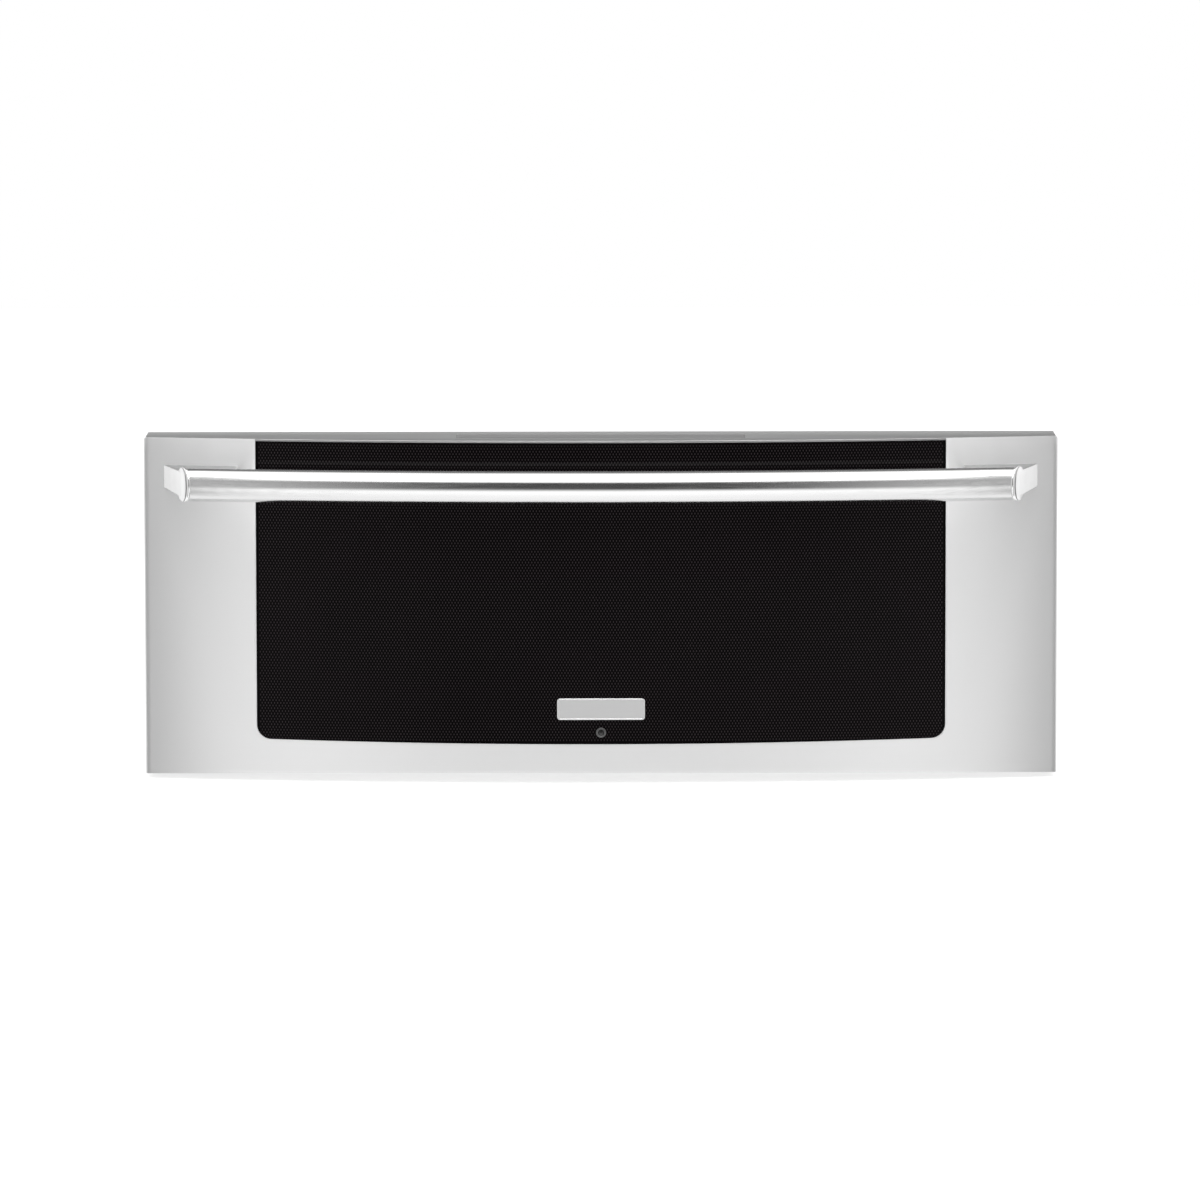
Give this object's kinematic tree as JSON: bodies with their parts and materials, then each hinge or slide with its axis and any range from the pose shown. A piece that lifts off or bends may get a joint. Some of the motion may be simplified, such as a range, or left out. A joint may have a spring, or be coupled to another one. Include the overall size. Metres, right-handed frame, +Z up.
{
  "type": "built-in warming drawer",
  "caption": "Built-in warming drawer with a bowed steel front, dark dotted glass, bowed bar handle, heated cavity and a pan on ball slides.",
  "frame": {"origin": "centre of the housing's footprint, on its underside", "axes": "+Z up, the drawer opens toward -Y, +X to the right seen from the front"},
  "size_m": [0.76, 0.7389, 0.286],
  "materials": {
    "front_steel": "fine satin",
    "trim_steel": "satin",
    "black_glass": "glossy, with a fine dot pattern behind",
    "handle_steel": "polished satin",
    "bracket_chrome": "polished",
    "plate_metal": "satin with a bright rim",
    "lens_plastic": "clear grey",
    "lamp_plastic": "matt",
    "overlay_film": "smooth",
    "board_laminate": "solder mask",
    "post_plastic": "matt",
    "screw_steel": "zinc plated",
    "housing_steel": "galvanised",
    "liner_steel": "satin",
    "pan_steel": "satin",
    "insulation_wool": "fibrous",
    "gasket_rubber": "woven and matt",
    "black_rubber": "matt",
    "element_metal": "oxidised sheath",
    "bracket_zinc": "zinc plated",
    "sensor_steel": "satin",
    "rail_zinc": "zinc plated",
    "cage_steel": "bright",
    "lever_plastic": "moulded"
  },
  "bodies": {
    "housing": {"base_panel": "housing_steel", "left_side_panel": "housing_steel", "right_side_panel": "housing_steel", "rear_panel": "housing_steel", "top_panel": "housing_steel", "housing_screws": "screw_steel", "cavity_floor": "liner_steel", "left_liner": "liner_steel", "right_liner": "liner_steel", "cavity_roof": "liner_steel", "cavity_rear": "liner_steel", "base_insulation": "insulation_wool", "top_insulation": "insulation_wool", "left_insulation": "insulation_wool", "right_insulation": "insulation_wool", "rear_insulation": "insulation_wool", "rear_bumpers": "black_rubber", "heating_element": "element_metal", "element_clips": "bracket_zinc", "element_flange": "bracket_zinc", "temperature_sensor": "sensor_steel", "thermal_cutout": "sensor_steel", "terminal_cover": "housing_steel", "cord_bushing": "black_rubber", "power_board": "board_laminate", "left_outer_rail": "rail_zinc", "right_outer_rail": "rail_zinc"},
    "drawer": {"front_panel": "front_steel", "glass_insert": "black_glass", "glass_clamps": "bracket_zinc", "top_trim": "trim_steel", "control_overlay": "overlay_film", "control_board": "board_laminate", "board_posts": "post_plastic", "inner_front_panel": "liner_steel", "front_insulation": "insulation_wool", "front_gasket": "gasket_rubber", "nameplate": "plate_metal", "indicator_lens": "lens_plastic", "indicator_lamp": "lamp_plastic", "handle_bar": "handle_steel", "left_handle_bracket": "bracket_chrome", "right_handle_bracket": "bracket_chrome", "handle_screws": "screw_steel", "drawer_pan": "pan_steel", "drawer_screws": "screw_steel", "vent_rivets": "screw_steel", "left_rail_bracket": "bracket_zinc", "right_rail_bracket": "bracket_zinc", "left_inner_rail": "rail_zinc", "right_inner_rail": "rail_zinc"},
    "vent": {"vent_slider": "pan_steel"},
    "left_mid_rail_body": {"left_mid_rail": "rail_zinc"},
    "left_outer_ball_cage_body": {"left_outer_ball_cage": "cage_steel"},
    "left_inner_ball_cage_body": {"left_inner_ball_cage": "cage_steel"},
    "left_glide_lever_body": {"left_glide_lever": "lever_plastic"},
    "right_mid_rail_body": {"right_mid_rail": "rail_zinc"},
    "right_outer_ball_cage_body": {"right_outer_ball_cage": "cage_steel"},
    "right_inner_ball_cage_body": {"right_inner_ball_cage": "cage_steel"},
    "right_glide_lever_body": {"right_glide_lever": "lever_plastic"}
  },
  "joints": [
    {"name": "drawer_slide", "type": "slide", "parent": "housing", "child": "drawer", "axis": [0, -1, 0], "range_m": [0, 0.48]},
    {"name": "vent_slide", "type": "slide", "parent": "drawer", "child": "vent", "axis": [1, 0, 0], "range_m": [0, 0.012]},
    {"name": "left_mid_rail_slide", "type": "slide", "parent": "housing", "child": "left_mid_rail_body", "axis": [0, -1, 0], "range_m": [0, 0.24]},
    {"name": "left_outer_ball_cage_slide", "type": "slide", "parent": "housing", "child": "left_outer_ball_cage_body", "axis": [0, -1, 0], "range_m": [0, 0.12]},
    {"name": "left_inner_ball_cage_slide", "type": "slide", "parent": "housing", "child": "left_inner_ball_cage_body", "axis": [0, -1, 0], "range_m": [0, 0.36]},
    {"name": "left_glide_lever_turn", "type": "hinge", "parent": "drawer", "child": "left_glide_lever_body", "pos_m": [-0.3298, -0.072, 0.0962], "axis": [1, 0, 0], "range_deg": [-7, 7], "stiffness_Nm_per_rad": 0.02},
    {"name": "right_mid_rail_slide", "type": "slide", "parent": "housing", "child": "right_mid_rail_body", "axis": [0, -1, 0], "range_m": [0, 0.24]},
    {"name": "right_outer_ball_cage_slide", "type": "slide", "parent": "housing", "child": "right_outer_ball_cage_body", "axis": [0, -1, 0], "range_m": [0, 0.12]},
    {"name": "right_inner_ball_cage_slide", "type": "slide", "parent": "housing", "child": "right_inner_ball_cage_body", "axis": [0, -1, 0], "range_m": [0, 0.36]},
    {"name": "right_glide_lever_turn", "type": "hinge", "parent": "drawer", "child": "right_glide_lever_body", "pos_m": [0.3298, -0.072, 0.0962], "axis": [1, 0, 0], "range_deg": [-7, 7], "stiffness_Nm_per_rad": 0.02}
  ],
  "couplings": [
    {"joint": "left_mid_rail_slide", "follows": "drawer_slide", "ratio": 0.5},
    {"joint": "left_outer_ball_cage_slide", "follows": "drawer_slide", "ratio": 0.25},
    {"joint": "left_inner_ball_cage_slide", "follows": "drawer_slide", "ratio": 0.75},
    {"joint": "right_mid_rail_slide", "follows": "drawer_slide", "ratio": 0.5},
    {"joint": "right_outer_ball_cage_slide", "follows": "drawer_slide", "ratio": 0.25},
    {"joint": "right_inner_ball_cage_slide", "follows": "drawer_slide", "ratio": 0.75}
  ]
}
